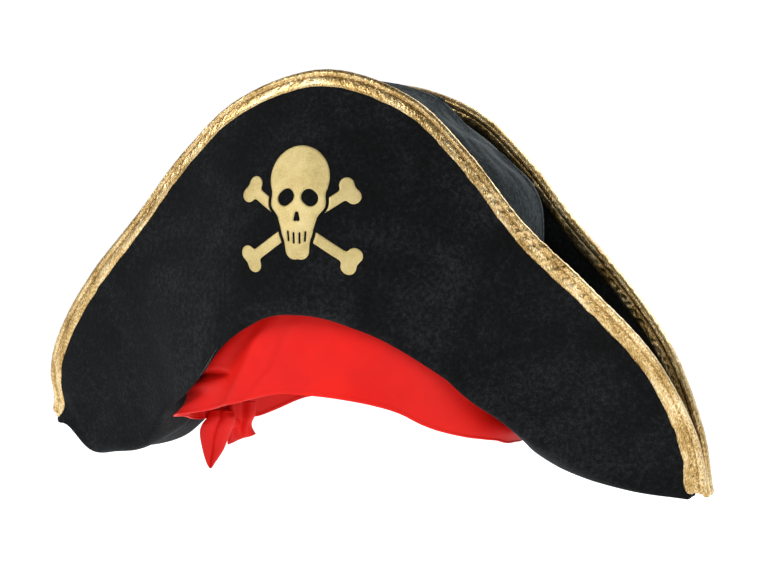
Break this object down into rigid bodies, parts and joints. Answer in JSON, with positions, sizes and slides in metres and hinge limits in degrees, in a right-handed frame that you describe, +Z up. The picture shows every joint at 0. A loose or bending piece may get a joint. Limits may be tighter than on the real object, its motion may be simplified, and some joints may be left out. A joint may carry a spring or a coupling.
{
  "type": "pirate hat",
  "caption": "Costume hat with front and back flaps turned up, bound edges, a soft crown, a printed emblem and a scarf tied under the brim.",
  "frame": {"origin": "middle of the head opening, at the mean height of the scarf's lower edge", "axes": "+X from horn to horn towards the wearer's left, -Y out of the front flap, +Z up"},
  "size_m": [0.4208, 0.1919, 0.2442],
  "materials": {
    "brim_velour": "short black pile",
    "crown_cloth": "soft brushed charcoal cloth",
    "sweatband_cloth": "ribbed tape",
    "foam": "foam sheet",
    "gold_binding": "metallic cloth",
    "gold_print": "matte metallic print",
    "black_thread": "matte thread",
    "gold_thread": "metallic thread",
    "scarf_satin": "smooth satin knit"
  },
  "bodies": {
    "hat": {"crown_front_panel": "crown_cloth", "crown_back_panel": "crown_cloth", "sweatband": "sweatband_cloth", "brim_front_face": "brim_velour", "brim_front_foam": "foam", "brim_front_lining": "brim_velour", "brim_back_face": "brim_velour", "brim_back_foam": "foam", "brim_back_lining": "brim_velour", "front_trim": "gold_binding", "back_trim": "gold_binding", "skull_emblem": "gold_print", "front_flap_tacks": "black_thread", "back_flap_tacks": "black_thread", "left_horn_tack": "gold_thread", "right_horn_tack": "gold_thread", "scarf_band": "scarf_satin", "scarf_knot": "scarf_satin"},
    "long_tail": {"scarf_long_tail": "scarf_satin"},
    "short_tail": {"scarf_short_tail": "scarf_satin"}
  },
  "joints": [
    {"name": "long_tail_swing", "type": "hinge", "parent": "hat", "child": "long_tail", "pos_m": [-0.0975, 0.015, -0.0161], "axis": [0.9063, 0.4226, 0], "range_deg": [-45, 45]},
    {"name": "short_tail_swing", "type": "hinge", "parent": "hat", "child": "short_tail", "pos_m": [-0.0905, 0.037, -0.0156], "axis": [0.9063, 0.4226, 0], "range_deg": [-45, 45]}
  ]
}
